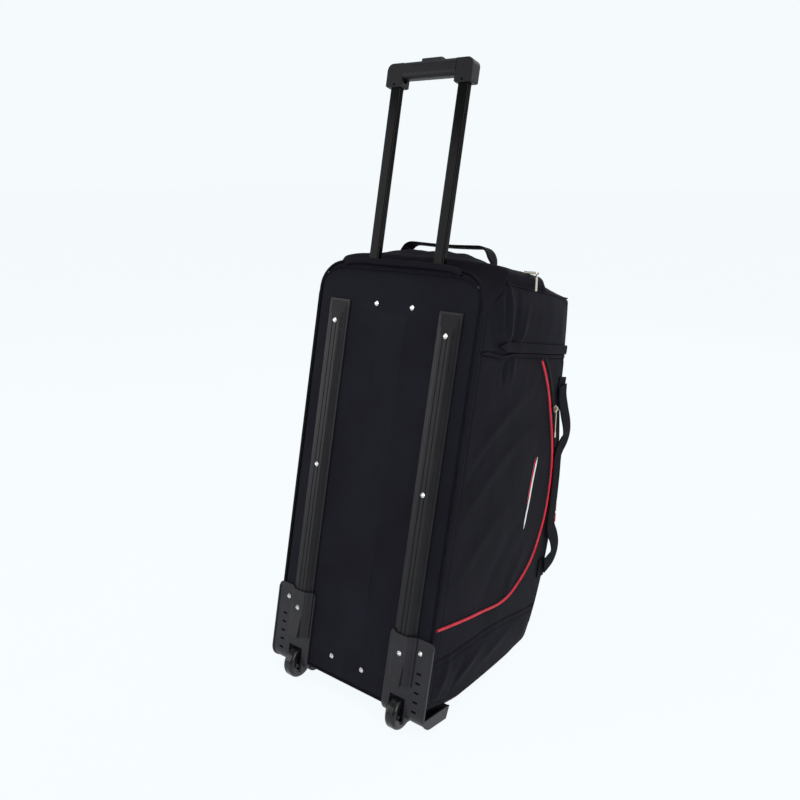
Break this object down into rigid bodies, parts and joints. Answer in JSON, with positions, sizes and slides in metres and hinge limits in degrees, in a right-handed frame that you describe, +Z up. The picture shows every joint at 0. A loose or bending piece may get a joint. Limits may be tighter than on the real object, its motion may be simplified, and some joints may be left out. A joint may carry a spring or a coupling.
{
  "type": "wheeled sports equipment bag",
  "caption": "Soft duffel on wheels for sports equipment, standing on end with its telescoping handle out; hinged lid, zips, skid rails, grab and haul handles.",
  "frame": {"origin": "centre of the bounding box on the floor that the bag stands on", "axes": "+Z up, +X across the bag towards its right side, +Y from the base face with the wheels and rails towards the opening face"},
  "size_m": [0.4072, 0.5716, 1.1737],
  "materials": {
    "black_fabric": "woven polyester, matt",
    "webbing": "woven webbing, matt",
    "red_piping": "smooth cord piping",
    "zip_coil": "nylon coil",
    "board": "extruded sheet",
    "grey_plastic": "moulded, fine grain",
    "tyre": "smooth tread",
    "black_plastic": "moulded",
    "steel": "bright",
    "black_tube": "black anodised, glossy",
    "grip_plastic": "soft moulded grain",
    "zip_metal": "cast, bright",
    "pull_rubber": "moulded"
  },
  "bodies": {
    "bag": {"base_board": "board", "base_panel": "black_fabric", "base_welt": "black_fabric", "bracket_rivets": "steel", "end_pocket_flap_left": "black_fabric", "end_pocket_flap_right": "black_fabric", "handle_anchors": "webbing", "housing_screws": "steel", "lining": "black_fabric", "main_zip_chain": "zip_coil", "opening_surround": "black_fabric", "piping_left": "red_piping", "piping_right": "red_piping", "rail_screws": "steel", "side_panel_left": "black_fabric", "side_panel_right": "black_fabric", "side_pocket_zip_left": "zip_coil", "side_pocket_zip_right": "zip_coil", "skid_rail_left": "grey_plastic", "skid_rail_right": "grey_plastic", "trolley_end_panel": "black_fabric", "trolley_lip": "black_fabric", "tube_bracket_foot": "grey_plastic", "tube_bracket_top": "grey_plastic", "tube_sleeve_left": "black_tube", "tube_sleeve_right": "black_tube", "wheel_axle_left": "steel", "wheel_axle_right": "steel", "wheel_end_panel": "black_fabric", "wheel_housing_left": "grey_plastic", "wheel_housing_right": "grey_plastic"},
    "lid": {"main_lid": "black_fabric"},
    "handle": {"handle_tube_left": "black_tube", "handle_tube_right": "black_tube", "grip_corner_left": "grip_plastic", "grip_corner_right": "grip_plastic", "handle_grip": "grip_plastic", "lock_plug_left": "black_plastic", "lock_plug_right": "black_plastic", "button_spring": "steel"},
    "release": {"release_button": "black_plastic", "release_yoke": "steel"},
    "lock_pin_left": {"lock_pin_left": "black_plastic"},
    "lock_pin_right": {"lock_pin_right": "black_plastic"},
    "wheel_left": {"wheel_tyre_left": "tyre", "wheel_hub_left": "black_plastic"},
    "wheel_right": {"wheel_tyre_right": "tyre", "wheel_hub_right": "black_plastic"},
    "carry_left": {"carry_handle_left": "webbing"},
    "carry_right": {"carry_handle_right": "webbing"},
    "haul": {"haul_handle": "webbing"},
    "main_zip_slider": {"main_slider": "zip_metal"},
    "main_zip_pull": {"main_pull": "zip_metal", "main_pull_grip": "pull_rubber"},
    "side_zip_slider_left": {"side_slider_left": "zip_metal"},
    "side_zip_pull_left": {"side_pull_left": "zip_metal"},
    "side_zip_slider_right": {"side_slider_right": "zip_metal"},
    "side_zip_pull_right": {"side_pull_right": "zip_metal"},
    "end_zip_slider": {"end_slider": "zip_metal"},
    "end_zip_pull": {"end_pull": "zip_metal"}
  },
  "joints": [
    {"name": "wheel_left_spin", "type": "hinge", "parent": "bag", "child": "wheel_left", "pos_m": [-0.127, -0.25384, 0.032], "axis": [1, 0, 0], "continuous": true},
    {"name": "wheel_right_spin", "type": "hinge", "parent": "bag", "child": "wheel_right", "pos_m": [0.127, -0.25384, 0.032], "axis": [1, 0, 0], "continuous": true},
    {"name": "handle_slide", "type": "slide", "parent": "bag", "child": "handle", "axis": [0, 0.2284, 0.9736], "range_m": [-0.29, 0]},
    {"name": "release_press", "type": "slide", "parent": "handle", "child": "release", "axis": [0, -0.2284, -0.9736], "range_m": [0, 0.005], "stiffness_N_per_m": 900, "springref_m": -0.004, "deforming": ["button_spring"]},
    {"name": "lock_pin_left_draw", "type": "slide", "parent": "handle", "child": "lock_pin_left", "axis": [1, 0, 0], "range_m": [0, 0.002]},
    {"name": "lock_pin_right_draw", "type": "slide", "parent": "handle", "child": "lock_pin_right", "axis": [-1, 0, 0], "range_m": [0, 0.002]},
    {"name": "lid_hinge", "type": "hinge", "parent": "bag", "child": "lid", "pos_m": [-0.17325, 0.24153, 0.24347], "axis": [0, 0.2284, 0.9736], "range_deg": [0, 100]},
    {"name": "carry_left_lift", "type": "hinge", "parent": "bag", "child": "carry_left", "pos_m": [-0.194, 0.16317, 0.12133], "axis": [0, 0.1126, 0.9936], "range_deg": [0, 100]},
    {"name": "carry_right_lift", "type": "hinge", "parent": "bag", "child": "carry_right", "pos_m": [0.194, 0.16317, 0.12133], "axis": [0, -0.1126, -0.9936], "range_deg": [0, 100]},
    {"name": "haul_flop", "type": "hinge", "parent": "bag", "child": "haul", "pos_m": [0, 0.07686, 0.80696], "axis": [1, 0, 0], "range_deg": [-42, 42]},
    {"name": "main_slider_travel", "type": "hinge", "parent": "bag", "child": "main_zip_slider", "pos_m": [0.179, -0.36426, 0.36707], "axis": [1, 0, 0], "range_deg": [-21.55, 6.95]},
    {"name": "main_pull_swing", "type": "hinge", "parent": "main_zip_slider", "child": "main_zip_pull", "pos_m": [0.179, 0.26831, 0.35959], "axis": [1, 0, 0], "range_deg": [-4, 100]},
    {"name": "side_slider_left_travel", "type": "hinge", "parent": "bag", "child": "side_zip_slider_left", "pos_m": [-0.195, -0.31089, 0.35532], "axis": [1, 0, 0], "range_deg": [-8.7, 11.59]},
    {"name": "side_pull_left_swing", "type": "hinge", "parent": "side_zip_slider_left", "child": "side_zip_pull_left", "pos_m": [-0.195, 0.19382, 0.5135], "axis": [1, 0, 0], "range_deg": [-120, 120]},
    {"name": "side_slider_right_travel", "type": "hinge", "parent": "bag", "child": "side_zip_slider_right", "pos_m": [0.195, -0.31089, 0.35532], "axis": [1, 0, 0], "range_deg": [-8.7, 11.59]},
    {"name": "side_pull_right_swing", "type": "hinge", "parent": "side_zip_slider_right", "child": "side_zip_pull_right", "pos_m": [0.195, 0.19382, 0.5135], "axis": [1, 0, 0], "range_deg": [-120, 120]},
    {"name": "end_slider_travel", "type": "slide", "parent": "bag", "child": "end_zip_slider", "axis": [0, 0.9736, -0.2284], "range_m": [-0.075, 0.038]},
    {"name": "end_pull_swing", "type": "hinge", "parent": "end_zip_slider", "child": "end_zip_pull", "pos_m": [0.197, 0.07601, 0.80336], "axis": [0, 0.9736, -0.2284], "range_deg": [-85, 2]}
  ],
  "couplings": [
    {"joint": "lock_pin_left_draw", "follows": "release_press", "ratio": 0.4},
    {"joint": "lock_pin_right_draw", "follows": "release_press", "ratio": 0.4}
  ]
}
